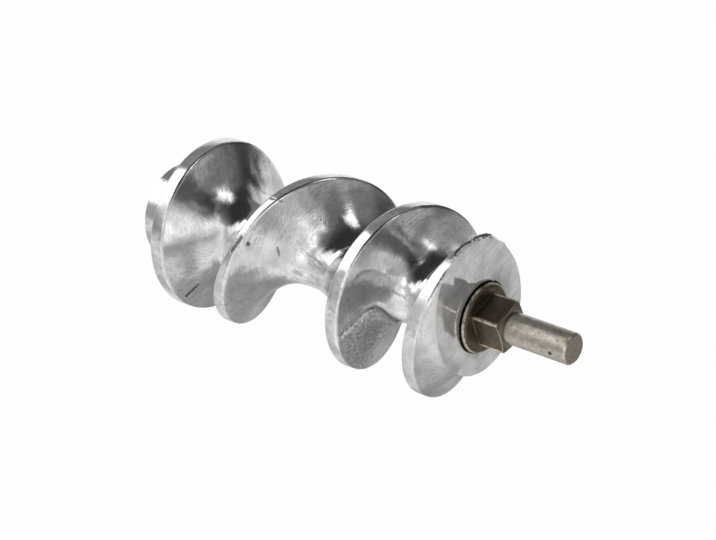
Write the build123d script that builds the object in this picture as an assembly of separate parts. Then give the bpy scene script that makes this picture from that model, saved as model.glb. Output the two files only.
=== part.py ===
from build123d import *
import math
import os

# Meat grinder auger: a cast feed screw with a steel knife stud screwed into its front.
# Millimetres. The axis is +Z, the rear hub's end face lies on Z = 0 and the pin points up.
# Turns are counted in degrees, clockwise seen from the pin, from the -X side: a left-hand screw.

# Screw body
OUTSIDE_DIA = 53.8  # over the flight's rim
CORE_DIA = 17.0  # the slim waist between two turns
BOSS_DIA = 34.4  # the core's flared front end
HUB_DIA = 30.6  # plain round tail that runs in the rear bearing
HUB_LENGTH = 14.3
HUB_CHAMFER = 0.5
HUB_FILLET = 1.5  # casting fillet between tail and disc
DISC_THICKNESS = 4.6  # flat full disc at the rear, where the flight starts
FLIGHT_LENGTH = 102.4  # from the disc's front to the ground front face
LAND_WIDTH = 4.1  # width of the flight's rim along the axis
THIN_LAND = 2.3  # the rim is ground thinner at one place of the second turn
THIN_TURN = 268.0
THIN_SPREAD = 55.0  # degrees either way until the rim is full again
TIP_LAND = 3.1  # the rim tapers to this before the front face cuts it off
TIP_START = 985.0
TIP_END = 1040.0

# The flight's rise at each quarter turn, as a share of the flight's length.
# It is steep in its second half turn and close-pitched towards the knife.
RISE_AT_QUARTER = [0.0, 0.072, 0.183, 0.306, 0.464, 0.556, 0.650, 0.700, 0.772, 0.846, 0.921, 0.988]

# Channel between two turns
FLANK_POWER = 2.4  # 2 is a plain parabola, more gives steeper flanks and a flatter floor
BOSS_POWER = 3.0  # the same, beside the boss
FADE_WIDTH = 12.0  # the channel reaches its depth at about twice this width
FLARE_START = 580.0  # turn where the floor begins to rise towards the boss
FLARE_END = 780.0
FIRST_SECTION = -285.0  # turn where the channel runs out between the disc and the flight
LAST_SECTION = 1020.0  # past the front face
SECTION_STEP = 15.0
SECTIONS_IN_LOFT = 24  # the channel is cut in lofts of this many steps, end to end
FLANK_POINTS = 6  # points on each flank
CUT_OVER = 1.5  # how far the channel's cutter stands out past the rim

# Square drive socket in the tail's end face
SOCKET_SIDE = 14.0
SOCKET_DEPTH = 12.0
SOCKET_CORNER = 1.5
SOCKET_CHAMFER = 0.8

# Knife stud
PIN_DIA = 9.5
PIN_LENGTH = 21.4
PIN_CHAMFER = 0.6
SQUARE_SIDE = 11.2
SQUARE_LENGTH = 9.3
SQUARE_CORNER = 0.3  # broken corners of the square
SQUARE_TURN = -7.5  # turn of the square's first corner
CONE_DROP = 0.7  # how far the turned end cone comes down the square's corners
FLANGE_DIA = 21.2
FLANGE_THICKNESS = 2.7
FLANGE_BEVEL_RISE = 0.6  # the flange's front is bevelled all round
FLANGE_BEVEL_WIDTH = 1.3
SHANK_DIA = 10.0
SHANK_LENGTH = 18.0
SHANK_CHAMFER = 1.0

# Clearances between the stud and the casting
SEAT_DEPTH = 1.2  # the flange sits this deep in the front face
SEAT_GAP = 0.15
SHANK_GAP = 0.05
BORE_EXTRA = 3.0  # bore below the shank's end

RIM_RADIUS = OUTSIDE_DIA / 2
DISC_FRONT = HUB_LENGTH + DISC_THICKNESS
FRONT_FACE = DISC_FRONT + FLIGHT_LENGTH
SEAT_FACE = FRONT_FACE - SEAT_DEPTH
FLANGE_FRONT = SEAT_FACE + FLANGE_THICKNESS
SQUARE_FRONT = FLANGE_FRONT + SQUARE_LENGTH
PIN_TIP = SQUARE_FRONT + PIN_LENGTH


def at(turn, radius, height):
    """Point at a turn, a radius and a height."""
    angle = math.radians(turn)
    return Vector(-radius * math.cos(angle), radius * math.sin(angle), height)


def smooth(share):
    """0 to 1 with flat ends."""
    held = min(1.0, max(0.0, share))
    return held * held * (3.0 - 2.0 * held)


def slope_at(station):
    """Rise per quarter turn at a station, from its neighbours."""
    last = len(RISE_AT_QUARTER) - 1
    if station == 0:
        return 0.0
    if station == last:
        return RISE_AT_QUARTER[last] - RISE_AT_QUARTER[last - 1]
    return (RISE_AT_QUARTER[station + 1] - RISE_AT_QUARTER[station - 1]) / 2


def rim_front(turn):
    """Height of the rim's front edge at a turn."""
    last = len(RISE_AT_QUARTER) - 1
    quarter = turn / 90.0
    if quarter <= 0:
        share = 0.0
    elif quarter >= last:
        share = RISE_AT_QUARTER[last] + slope_at(last) * (quarter - last)
    else:
        low = int(quarter)
        t = quarter - low
        start = RISE_AT_QUARTER[low] * (2 * t**3 - 3 * t**2 + 1)
        end = RISE_AT_QUARTER[low + 1] * (3 * t**2 - 2 * t**3)
        leave = slope_at(low) * (t**3 - 2 * t**2 + t)
        arrive = slope_at(low + 1) * (t**3 - t**2)
        share = start + end + leave + arrive
    return DISC_FRONT + FLIGHT_LENGTH * share


def rim_rear(turn):
    """Height of the rim's rear edge at a turn."""
    thin = (LAND_WIDTH - THIN_LAND) * smooth(1.0 - abs(turn - THIN_TURN) / THIN_SPREAD)
    tip = (LAND_WIDTH - TIP_LAND) * smooth((turn - TIP_START) / (TIP_END - TIP_START))
    return rim_front(turn) - LAND_WIDTH + thin + tip


def channel_section(turn):
    """Outline of the channel in the half plane at a turn, open past the rim."""
    rear_wall = rim_front(turn)
    front_wall = rim_rear(turn + 360.0)
    width = front_wall - rear_wall
    middle = (front_wall + rear_wall) / 2
    flare = smooth((turn - FLARE_START) / (FLARE_END - FLARE_START))
    floor_radius = (CORE_DIA + (BOSS_DIA - CORE_DIA) * flare) / 2
    depth = (RIM_RADIUS - floor_radius) * math.tanh(width / FADE_WIDTH)
    power = FLANK_POWER + (BOSS_POWER - FLANK_POWER) * flare
    reach = (1.0 + CUT_OVER / depth) ** (1.0 / power)
    points = []
    for step in range(-FLANK_POINTS, FLANK_POINTS + 1):
        across = reach * step / FLANK_POINTS
        radius = RIM_RADIUS - depth * (1.0 - abs(across) ** power)
        points.append(at(turn, radius, middle + across * width / 2))
    flanks = Edge.make_spline(points)
    top = Edge.make_line(points[-1], points[0])
    return Wire([flanks, top])


# Turned blank of the screw: tail, disc and rim in one revolved outline
blank_outline = [
    (0, 0),
    (HUB_DIA / 2 - HUB_CHAMFER, 0),
    (HUB_DIA / 2, HUB_CHAMFER),
    (HUB_DIA / 2, HUB_LENGTH),
    (RIM_RADIUS, HUB_LENGTH),
    (RIM_RADIUS, FRONT_FACE),
    (0, FRONT_FACE),
]
with BuildPart() as blank:
    with BuildSketch(Plane.XZ):
        with BuildLine():
            Polyline(*blank_outline, close=True)
        make_face()
    revolve(axis=Axis.Z)
    circles_by_height = blank.edges().filter_by(GeomType.CIRCLE).group_by(Axis.Z)
    root_edge = circles_by_height[-2].sort_by(SortBy.RADIUS)[0]
    fillet(root_edge, HUB_FILLET)

# The helical channel between the turns, lofted through its sections and cut length by length
section_count = round((LAST_SECTION - FIRST_SECTION) / SECTION_STEP) + 1
channel_turns = [FIRST_SECTION + SECTION_STEP * index for index in range(section_count)]
screw = blank.part
for first in range(0, section_count - 1, SECTIONS_IN_LOFT):
    loft_turns = channel_turns[first : first + SECTIONS_IN_LOFT + 1]
    screw = screw - Solid.make_loft([channel_section(turn) for turn in loft_turns])

# Seat for the stud's flange and blind bore for its shank, both from the front face
BORE_END = SEAT_FACE - SHANK_LENGTH - BORE_EXTRA
FROM_BASE = (Align.CENTER, Align.CENTER, Align.MIN)
seat = Cylinder(FLANGE_DIA / 2 + SEAT_GAP, SEAT_DEPTH, align=FROM_BASE)
bore = Cylinder(SHANK_DIA / 2 + SHANK_GAP, SEAT_FACE - BORE_END, align=FROM_BASE)
screw = screw - Pos(0, 0, SEAT_FACE) * seat - Pos(0, 0, BORE_END) * bore

# Square drive socket in the tail's end face, with a chamfered mouth
mouth_side = SOCKET_SIDE + 2 * SOCKET_CHAMFER
with BuildPart() as socket:
    with BuildSketch():
        RectangleRounded(SOCKET_SIDE, SOCKET_SIDE, SOCKET_CORNER)
    extrude(amount=SOCKET_DEPTH)
    with BuildSketch():
        RectangleRounded(mouth_side, mouth_side, SOCKET_CORNER + SOCKET_CHAMFER)
    extrude(amount=SOCKET_CHAMFER, taper=45)
screw = screw - socket.part

# Knife stud: shank, flange, square and pin turned from one bar
stud_outline = [
    (0, SEAT_FACE - SHANK_LENGTH),
    (SHANK_DIA / 2 - SHANK_CHAMFER, SEAT_FACE - SHANK_LENGTH),
    (SHANK_DIA / 2, SEAT_FACE - SHANK_LENGTH + SHANK_CHAMFER),
    (SHANK_DIA / 2, SEAT_FACE),
    (FLANGE_DIA / 2, SEAT_FACE),
    (FLANGE_DIA / 2, FLANGE_FRONT - FLANGE_BEVEL_RISE),
    (FLANGE_DIA / 2 - FLANGE_BEVEL_WIDTH, FLANGE_FRONT),
    (PIN_DIA / 2, FLANGE_FRONT),
    (PIN_DIA / 2, PIN_TIP - PIN_CHAMFER),
    (PIN_DIA / 2 - PIN_CHAMFER, PIN_TIP),
    (0, PIN_TIP),
]
with BuildPart() as turned:
    with BuildSketch(Plane.XZ):
        with BuildLine():
            Polyline(*stud_outline, close=True)
        make_face()
    revolve(axis=Axis.Z)

# The square is milled, and its front end keeps the turned cone that rounds off the corners
corner_radius = SQUARE_SIDE / math.sqrt(2)
with BuildPart() as square:
    with BuildSketch(Plane.XY.offset(FLANGE_FRONT)):
        RectangleRounded(SQUARE_SIDE, SQUARE_SIDE, SQUARE_CORNER, rotation=45 - SQUARE_TURN)
    extrude(amount=SQUARE_LENGTH)
cone_outline = [
    (0, FLANGE_FRONT),
    (corner_radius, FLANGE_FRONT),
    (corner_radius, SQUARE_FRONT - CONE_DROP),
    (SQUARE_SIDE / 2 - SQUARE_CORNER, SQUARE_FRONT),
    (0, SQUARE_FRONT),
]
with BuildPart() as end_cone:
    with BuildSketch(Plane.XZ):
        with BuildLine():
            Polyline(*cone_outline, close=True)
        make_face()
    revolve(axis=Axis.Z)
stud = turned.part + (square.part & end_cone.part)

os.makedirs("parts", exist_ok=True)
export_step(screw, "parts/feed_screw.step")
export_step(stud, "parts/knife_stud.step")
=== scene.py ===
# %% [markdown]
# # The feed screw of a meat grinder
#
# A polished aluminium casting carries a brown steel stud in its front end. The solids come from
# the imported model, which stays fixed. This lesson gives them their camera, their studio and their
# finishes, one step at a time. Everything is in metres, and the screw's axis is +Z.

# %% Load the frame
import math
import bmesh
import bpy
from mathutils import Matrix, Vector, noise


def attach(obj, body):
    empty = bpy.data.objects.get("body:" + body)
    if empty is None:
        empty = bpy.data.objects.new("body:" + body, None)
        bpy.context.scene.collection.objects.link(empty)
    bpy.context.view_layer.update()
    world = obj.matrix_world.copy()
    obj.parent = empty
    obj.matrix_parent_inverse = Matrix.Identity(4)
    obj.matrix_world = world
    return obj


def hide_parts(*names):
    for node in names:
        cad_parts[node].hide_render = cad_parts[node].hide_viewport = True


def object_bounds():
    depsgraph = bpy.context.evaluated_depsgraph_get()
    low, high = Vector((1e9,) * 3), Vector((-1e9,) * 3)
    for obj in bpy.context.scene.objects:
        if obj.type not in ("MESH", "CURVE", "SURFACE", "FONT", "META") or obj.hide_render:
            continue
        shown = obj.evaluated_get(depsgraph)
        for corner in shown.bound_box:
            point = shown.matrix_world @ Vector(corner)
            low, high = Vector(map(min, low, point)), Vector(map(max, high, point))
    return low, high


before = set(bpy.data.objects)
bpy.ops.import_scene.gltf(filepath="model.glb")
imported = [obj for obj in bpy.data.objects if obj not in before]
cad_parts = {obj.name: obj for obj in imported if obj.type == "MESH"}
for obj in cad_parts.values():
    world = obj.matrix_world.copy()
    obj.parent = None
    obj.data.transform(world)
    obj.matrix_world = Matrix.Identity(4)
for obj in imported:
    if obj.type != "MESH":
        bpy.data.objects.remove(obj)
cad_low, cad_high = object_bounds()
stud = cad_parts["knife_stud"]

# %% [markdown]
# ## The camera
#
# The photograph was taken from the knife's end, a little above the screw, with the screw lying on
# its side. Here the screw stands on its tail, so the camera is rolled instead of the screw. A
# camera can be aimed with angles, but three perpendicular directions are easier to check: where
# the picture's right, its top and the photographer are.

# %% Camera
CAMERA_PLACE = Vector((-0.000901, -0.593172, 0.504390))
CAMERA_TILT = math.radians(35.96)
CAMERA_ROLL = math.radians(109.41)
LENS_MM = 123.59
SENSOR_MM = 36.0

photo_back = Vector((0, -math.cos(CAMERA_TILT), math.sin(CAMERA_TILT)))
level_right = Vector((1, 0, 0))
level_up = photo_back.cross(level_right)
photo_right = level_right * math.cos(CAMERA_ROLL) + level_up * math.sin(CAMERA_ROLL)
photo_up = photo_back.cross(photo_right)

camera_data = bpy.data.cameras.new("photo_camera")
camera_data.sensor_width = SENSOR_MM
camera_data.lens = LENS_MM
camera = bpy.data.objects.new("photo_camera", camera_data)
camera.matrix_world = Matrix((photo_right, photo_up, photo_back)).transposed().to_4x4()
camera.location = CAMERA_PLACE
bpy.context.scene.collection.objects.link(camera)
bpy.context.scene.camera = camera
bpy.context.scene.view_settings.view_transform = "Standard"
print("picture right:", photo_right, "picture up:", photo_up)

# %% [markdown]
# ## Small helpers for node trees
#
# A finish or a light is a tree of nodes. Clicking one together is quick, but in a script the same
# three lines come back for every node. `place` adds a node and fills its sockets, with a number, a
# colour or a link. The others are shorthand for the nodes that come most often: a step of
# arithmetic, a product, the largest of several masks, a smooth change, a mix of two numbers or two
# colours, and a stack of such mixes.

# %% Node helpers


def place(tree, kind, sockets=None, **options):
    """Add a shader node, set its options, and set or link its sockets by name or number."""
    node = tree.nodes.new("ShaderNode" + kind)
    for name, value in options.items():
        setattr(node, name, value)
    for name, value in (sockets or {}).items():
        if isinstance(value, bpy.types.NodeSocket):
            tree.links.new(value, node.inputs[name])
        else:
            node.inputs[name].default_value = value
    return node


def calc(tree, operation, *values):
    """One step of arithmetic on numbers or sockets."""
    return place(tree, "Math", dict(enumerate(values)), operation=operation).outputs[0]


def vector_step(tree, operation, sockets):
    """One step of vector arithmetic."""
    return place(tree, "VectorMath", sockets, operation=operation).outputs


def times(tree, *values):
    """Product of numbers or sockets."""
    product = values[0]
    for value in values[1:]:
        product = calc(tree, "MULTIPLY", product, value)
    return product


def largest(tree, *values):
    """The largest of several numbers or sockets."""
    most = values[0]
    for value in values[1:]:
        most = calc(tree, "MAXIMUM", most, value)
    return most


def fade(tree, value, start, end, high=1.0):
    """Smooth change from 0 to high while the value goes from start to end."""
    sockets = {"Value": value, "From Min": start, "From Max": end, "To Max": high}
    return place(tree, "MapRange", sockets, interpolation_type="SMOOTHSTEP").outputs[0]


def between(tree, share, first, second):
    """A number between two numbers."""
    return place(tree, "Mix", {0: share, 2: first, 3: second}).outputs[0]


def tint(tree, share, first, second):
    """A colour between two colours."""
    sockets = {0: share, 6: first, 7: second}
    return place(tree, "Mix", sockets, data_type="RGBA").outputs[2]


def laid_over(tree, mix, base, layers):
    """Colours or numbers laid over a base, each as (mask, value)."""
    for mask, value in layers:
        base = mix(tree, mask, base, value)
    return base


print("helpers ready")

# %% [markdown]
# ## The studio
#
# A polished casting has almost no colour of its own: it shows the room. A few lamps would leave it
# black between them, so the world is the whole studio. Each panel of it is written in the
# photographer's words: how far round from the camera, how high above the picture's horizon, how
# wide and how bright. The table below is pale, the room above the camera is dark, and a tall strip
# softbox stands on the left. A panel lies over those that are listed before it.

# %% Studio panels
# Level of the studio from straight below the picture to straight above it, in degrees
TABLE_TO_CEILING = {
    -90: 0.84, -55: 0.80, -34: 0.68, -16: 0.48, 0: 0.20, 14: 0.07, 28: 0.03, 90: 0.045
}
# Each panel: degrees round from the camera, degrees up, half width, half height, softness, level
STUDIO_PANELS = {
    "floor glow": (-130, 12, 42, 42, 14, 0.80),
    "floor shade": (-130, -33, 24, 9, 8, 0.48),
    "left table": (-75, -62, 65, 24, 12, 0.97),
    "left wall": (-74, 6, 26, 16, 8, 0.52),
    "left wall shade": (-93, 1, 13, 10, 6, 0.32),
    "table glare": (-30, -44, 10, 13, 6, 1.15),
    "table edge left": (-42, -4, 18, 9, 6, 1.10),
    "table edge front": (2, -22, 24, 8, 4, 1.20),
    "table corner": (21, -14, 9, 9, 5, 1.35),
    "shaded table": (140, -45, 48, 26, 10, 0.33),
    "right table": (112, -16, 20, 9, 5, 0.58),
    "backdrop": (170, 26, 34, 22, 9, 0.90),
    "right wall": (133, 11, 12, 9, 6, 0.70),
    "right window glow": (68, 4, 16, 7, 5, 0.42),
    "window haze": (66, 20, 26, 13, 10, 0.19),
    "window": (48, 24, 8, 10, 4, 1.50),
    "far window": (124, 46, 18, 10, 8, 0.75),
    "ceiling left": (-140, 76, 78, 16, 8, 0.25),
    "ceiling right": (112, 72, 36, 16, 8, 0.20),
    "softbox wing": (-51, 17, 13, 20, 6, 1.15),
    "strip softbox": (-77, 38, 18, 21, 3, 1.75),
}

world = bpy.data.worlds.new("studio")
world.use_nodes = True
bpy.context.scene.world = world
studio = world.node_tree
studio.nodes.clear()
direction = place(studio, "TexCoord").outputs["Generated"]


def toward(axis):
    """How far the direction points along an axis of the picture."""
    return vector_step(studio, "DOT_PRODUCT", {0: direction, 1: axis})["Value"]


round_angle = calc(studio, "ARCTAN2", toward(photo_right), toward(photo_back))
round_degrees = calc(studio, "DEGREES", round_angle)
high_degrees = calc(studio, "DEGREES", calc(studio, "ARCSINE", toward(photo_up)))

height_share = calc(studio, "DIVIDE", calc(studio, "ADD", high_degrees, 90.0), 180.0)
gradient = place(studio, "ValToRGB", {"Fac": height_share})
stops = gradient.color_ramp.elements
while len(stops) < len(TABLE_TO_CEILING):
    stops.new(0.5)
for stop, (degrees, level) in zip(stops, TABLE_TO_CEILING.items()):
    stop.position = (degrees + 90) / 180
    stop.color = (level, level, level, 1)

level_so_far = gradient.outputs["Color"]
for centre, middle, half_width, half_height, softness, level in STUDIO_PANELS.values():
    turned = calc(studio, "WRAP", calc(studio, "SUBTRACT", round_degrees, centre), 180.0, -180.0)
    raised = calc(studio, "SUBTRACT", high_degrees, middle)
    off_centre, off_middle = calc(studio, "ABSOLUTE", turned), calc(studio, "ABSOLUTE", raised)
    sides = fade(studio, off_centre, half_width + softness, half_width - softness)
    ends = fade(studio, off_middle, half_height + softness, half_height - softness)
    level_so_far = between(studio, times(studio, sides, ends), level_so_far, level)
ray = place(studio, "LightPath").outputs
straight = largest(studio, ray["Is Camera Ray"], ray["Is Transmission Ray"])
level_seen = between(studio, straight, level_so_far, 1.0)
studio_light = place(studio, "Background", {"Color": level_seen})
place(studio, "OutputWorld", {"Surface": studio_light.outputs["Background"]})
print("studio panels:", ", ".join(STUDIO_PANELS))

# %% [markdown]
# ## The floor
#
# The photograph's background is plain white. A floor can be made white with more light, but that
# would also wash out the metal, so its material shines by itself where the camera sees it. The
# rest is ordinary matt paint, which takes a faint shadow. Past its edge the world is white too, for
# rays that come straight from the camera. Both stay out of the mirror images in the metal, because
# the studio's panels already hold the table and the walls that it reflected.

# %% Floor
FLOOR_SIZE = 40.0
FLOOR_PAINT = (0.86, 0.86, 0.86, 1)
WHITE = (1, 1, 1, 1)
FLOOR_SHINE = 0.975


def new_material(name):
    """An empty material and its tree."""
    material = bpy.data.materials.new(name)
    material.use_nodes = True
    material.node_tree.nodes.clear()
    return material, material.node_tree


floor_paint, tree = new_material("floor_paint")
ray = place(tree, "LightPath").outputs
seen = largest(tree, ray["Is Camera Ray"], ray["Is Glossy Ray"], ray["Is Transmission Ray"])
matt = place(tree, "BsdfDiffuse", {"Color": FLOOR_PAINT})
shine = place(tree, "Emission", {"Color": WHITE})
share = times(tree, seen, FLOOR_SHINE)
both = place(tree, "MixShader", {0: share, 1: matt.outputs[0], 2: shine.outputs[0]})
place(tree, "OutputMaterial", {"Surface": both.outputs[0]})

bpy.ops.mesh.primitive_plane_add(size=FLOOR_SIZE)
floor = bpy.context.object
floor.name = "floor"
floor.data.materials.append(floor_paint)
floor.visible_glossy = False
print("stage:", floor.name)

# %% [markdown]
# ## A soft lamp
#
# One large area lamp above the photographer, a little to the left, gives the rough steel its light
# side. It is kept out of the reflections, where the strip softbox already stands.

# %% Key lamp
KEY_DISTANCE = 0.9
KEY_SIZE = 0.7
KEY_WATTS = 6.0
KEY_UP, KEY_LEFT, KEY_BACK = 0.55, 0.15, 0.8
middle = (cad_low + cad_high) / 2
key_way = (photo_up * KEY_UP - photo_right * KEY_LEFT + photo_back * KEY_BACK).normalized()

key_data = bpy.data.lights.new("key_lamp", "AREA")
key_data.size = KEY_SIZE
key_data.energy = KEY_WATTS
key = bpy.data.objects.new("key_lamp", key_data)
key.location = middle + key_way * KEY_DISTANCE
key.rotation_euler = key_way.to_track_quat("Z", "Y").to_euler()
key.visible_glossy = False
key.visible_camera = False
bpy.context.scene.collection.objects.link(key)
print("key lamp at", key.location)

# %% [markdown]
# ## The casting, row by row
#
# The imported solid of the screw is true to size, but a hand-polished casting is never that regular:
# its edges are broken, its flanks wave, a lap of metal stands on the third turn and the ground
# front edge is chipped. Those are shapes, so they belong in a mesh. A sculpted copy would lose the
# helix, and a subdivided copy keeps the solid's thin triangles. Rows of points along the helix are
# even and easy to steer, so this piece is drawn again from the same sizes and replaces the solid.

# %% Sizes of the casting, in millimetres as on the drawing
MM = 0.001
RIM_RADIUS = 26.9
CORE_RADIUS = 8.5
BOSS_RADIUS = 17.2
HUB_LENGTH = 14.3
DISC_FRONT = 18.9
FRONT_FACE = 121.3
FLIGHT_LENGTH = FRONT_FACE - DISC_FRONT
# The flight's rise at each quarter turn, as a share of the flight's length
RISE_AT_QUARTER = [0.0, 0.072, 0.183, 0.306, 0.464, 0.556, 0.650, 0.700, 0.772, 0.846, 0.921, 0.988]
LAST_QUARTER = len(RISE_AT_QUARTER) - 1
LAND_WIDTH = 4.1
THIN_LAND, THIN_TURN, THIN_SPREAD = 2.3, 268.0, 55.0
TIP_LAND, TIP_START, TIP_END = 3.1, 985.0, 1040.0
FLANK_POWER, BOSS_POWER, FADE_WIDTH = 2.4, 3.0, 12.0
FLARE_START, FLARE_END = 592.0, 792.0
EDGE_BREAK = 0.24
FULL_BREAK_WIDTH = 3.0
MOST_BREAK = 0.9
START_FADE = 8.0


def smooth(share):
    """0 to 1 with flat ends."""
    held = min(1.0, max(0.0, share))
    return held * held * (3.0 - 2.0 * held)


def slope_at(station):
    """Rise per quarter turn at a station, from its neighbours."""
    if station == 0:
        return 0.0
    if station == LAST_QUARTER:
        return RISE_AT_QUARTER[station] - RISE_AT_QUARTER[station - 1]
    return (RISE_AT_QUARTER[station + 1] - RISE_AT_QUARTER[station - 1]) / 2


def rim_front(turn):
    """Height of the rim's front edge at a turn, in degrees from the -X side."""
    quarter = turn / 90.0
    if quarter <= 0:
        return DISC_FRONT
    if quarter >= LAST_QUARTER:
        share = RISE_AT_QUARTER[-1] + slope_at(LAST_QUARTER) * (quarter - LAST_QUARTER)
    else:
        low = int(quarter)
        t = quarter - low
        share = RISE_AT_QUARTER[low] * (2 * t**3 - 3 * t**2 + 1)
        share += RISE_AT_QUARTER[low + 1] * (3 * t**2 - 2 * t**3)
        share += slope_at(low) * (t**3 - 2 * t**2 + t)
        share += slope_at(low + 1) * (t**3 - t**2)
    return DISC_FRONT + FLIGHT_LENGTH * share


def rim_rear(turn):
    """Height of the rim's rear edge, which never lies behind the disc's front."""
    thin = (LAND_WIDTH - THIN_LAND) * smooth(1.0 - abs(turn - THIN_TURN) / THIN_SPREAD)
    tip = (LAND_WIDTH - TIP_LAND) * smooth((turn - TIP_START) / (TIP_END - TIP_START))
    return max(DISC_FRONT, rim_front(turn) - LAND_WIDTH + thin + tip)


print("pitch of the first turn:", rim_front(360) - rim_front(0), "mm")

# %% [markdown]
# The screw's surface is two strips that wind up together: the narrow land on the rim, and the wide
# channel between two turns. The channel's cross-section is a power curve from rim to rim, and each
# of its ends is a corner of the land, one turn apart, so the strips share their borders.

# %% Cross-sections of channel and land
CHANNEL_COLUMNS = 76
EVEN_SPACING, CLOSE_SPACING = 0.65, 0.35
# How far in from a corner of the land a point stands, and its share of the corner's break
LAND_STEPS = [(0.12, 0.35), (0.30, 0.08), (0.60, 0.0)]
FULL_STEPS_WIDTH = 1.5


def channel_row(turn):
    """Radius and height of the channel's points, from its rear corner to its front corner."""
    rear = rim_front(turn)
    width = rim_rear(turn + 360.0) - rear
    if width <= 0.0:
        return [(RIM_RADIUS, rear)] * CHANNEL_COLUMNS
    flare = smooth((turn - FLARE_START) / (FLARE_END - FLARE_START))
    floor_radius = CORE_RADIUS + (BOSS_RADIUS - CORE_RADIUS) * flare
    depth = (RIM_RADIUS - floor_radius) * math.tanh(width / FADE_WIDTH)
    power = FLANK_POWER + (BOSS_POWER - FLANK_POWER) * flare
    front_drop = EDGE_BREAK * min(1.0, width / FULL_BREAK_WIDTH)
    rear_drop = front_drop * smooth(abs(turn) / START_FADE)
    rear_reach = (1.0 - min(MOST_BREAK, rear_drop / depth)) ** (1.0 / power)
    front_reach = (1.0 - min(MOST_BREAK, front_drop / depth)) ** (1.0 / power)
    row = []
    for column in range(CHANNEL_COLUMNS):
        even = 2.0 * column / (CHANNEL_COLUMNS - 1) - 1.0
        across = EVEN_SPACING * even + CLOSE_SPACING * math.sin(even * math.pi / 2)
        across *= rear_reach if even < 0 else front_reach
        radius = RIM_RADIUS - depth * (1.0 - abs(across) ** power)
        row.append((radius, rear + width * (1.0 + across) / 2))
    return row


def land_row(rear_corner, front_corner, rear, front):
    """Radius and height of the land's points, with both edges broken."""
    fit = min(1.0, (front - rear) / FULL_STEPS_WIDTH)
    near = [(inset * fit, share) for inset, share in LAND_STEPS]
    rear_drop = RIM_RADIUS - rear_corner[0]
    front_drop = RIM_RADIUS - front_corner[0]
    row = [rear_corner]
    row += [(RIM_RADIUS - rear_drop * share, rear + inset) for inset, share in near]
    row += [(RIM_RADIUS - front_drop * share, front - inset) for inset, share in reversed(near)]
    return row + [front_corner]


def on_screw(turn, radius, height):
    """A point of the screw, in metres."""
    angle = math.radians(turn)
    return Vector((-radius * math.cos(angle), radius * math.sin(angle), height)) * MM


print("channel at turn 270:", channel_row(270)[0], "to", channel_row(270)[-1])

# %% [markdown]
# Points stand every degree and a half, so a point and the one a full turn later lie in the same
# direction, and the strips' borders meet point to point. Tail, socket, seat and bore are turned
# or broached shapes, so they are outlines that go once round the axis.

# %% Lay the strips
ROWS_PER_TURN = 240
LAST_CHANNEL_TURN, LAST_LAND_TURN = 1020.0, 1068.0
HUB_RADIUS, HUB_CHAMFER, HUB_FILLET = 15.3, 0.5, 1.5
TAIL_ROWS = (12.2, 9.5, 6.5, 3.5, 1.0, HUB_CHAMFER)
SOCKET_HALF, SOCKET_CORNER, SOCKET_CHAMFER, SOCKET_DEPTH = 7.0, 1.5, 0.8, 12.0
SEAT_MOUTH, SEAT_RADIUS, SEAT_CHAMFER, SEAT_FACE = 11.2, 10.75, 0.45, 120.1
BORE_RADIUS, BORE_END = 5.05, 99.1
FILLET_STEPS = 4
row_step = 360.0 / ROWS_PER_TURN
disc_edge = (RIM_RADIUS - EDGE_BREAK, HUB_LENGTH)
points, quads = [], []


def turns(first, last):
    """The turns of all rows between two turns."""
    return [first + row_step * row for row in range(round((last - first) / row_step) + 1)]


def lay_strip(strip_turns, outlines):
    """Add one row of points for each turn, and the quads between neighbouring rows."""
    start, width = len(points), len(outlines[0])
    for turn, outline in zip(strip_turns, outlines):
        points.extend(on_screw(turn, radius, height) for radius, height in outline)
    for row in range(len(outlines) - 1):
        for column in range(width - 1):
            corner = start + row * width + column
            quads.append((corner, corner + 1, corner + width + 1, corner + width))


def rounded_square(turn, half, corner):
    """Distance from the axis to the side of a rounded square."""
    angle = math.radians((turn + 45.0) % 90.0 - 45.0)
    inner = half - corner
    if abs(math.tan(angle)) * half <= inner:
        return half / math.cos(angle)
    along = inner * (math.cos(angle) + abs(math.sin(angle)))
    return along + math.sqrt(along**2 - 2 * inner**2 + corner**2)


def tail_outline(turn):
    """Disc's rear face, fillet, tail, end face and drive socket."""
    root = []
    for step in range(FILLET_STEPS + 1):
        angle = math.pi / 2 * step / FILLET_STEPS
        from_root, below_disc = HUB_FILLET * (1 - math.sin(angle)), HUB_FILLET * (1 - math.cos(angle))
        root.append((HUB_RADIUS + from_root, HUB_LENGTH - below_disc))
    mouth = rounded_square(turn, SOCKET_HALF + SOCKET_CHAMFER, SOCKET_CORNER + SOCKET_CHAMFER)
    wall = rounded_square(turn, SOCKET_HALF, SOCKET_CORNER)
    tail = [(HUB_RADIUS, height) for height in TAIL_ROWS]
    tail += [(HUB_RADIUS - HUB_CHAMFER, 0), (mouth, 0)]
    socket = [(wall, SOCKET_CHAMFER), (wall, SOCKET_DEPTH), (0, SOCKET_DEPTH)]
    return [disc_edge] + root + tail + socket


rows = turns(-360, LAST_CHANNEL_TURN)
lay_strip(rows, [channel_row(turn) for turn in rows])
rows = turns(0, LAST_LAND_TURN)
lands = []
for turn in rows:
    rear_corner, front_corner = channel_row(turn - 360)[-1], channel_row(turn)[0]
    lands.append(land_row(rear_corner, front_corner, rim_rear(turn), rim_front(turn)))
lay_strip(rows, lands)
rows = turns(-360, 0)
lay_strip(rows, [land_row(disc_edge, channel_row(turn)[0], HUB_LENGTH, DISC_FRONT) for turn in rows])
lay_strip(rows, [tail_outline(turn) for turn in rows])
seat = [(SEAT_MOUTH, FRONT_FACE), (SEAT_RADIUS, FRONT_FACE - SEAT_CHAMFER), (SEAT_RADIUS, SEAT_FACE)]
seat += [(BORE_RADIUS, SEAT_FACE), (BORE_RADIUS, BORE_END), (0, BORE_END)]
lay_strip(rows, [seat] * len(rows))
print(len(points), "points in the strips")

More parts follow.
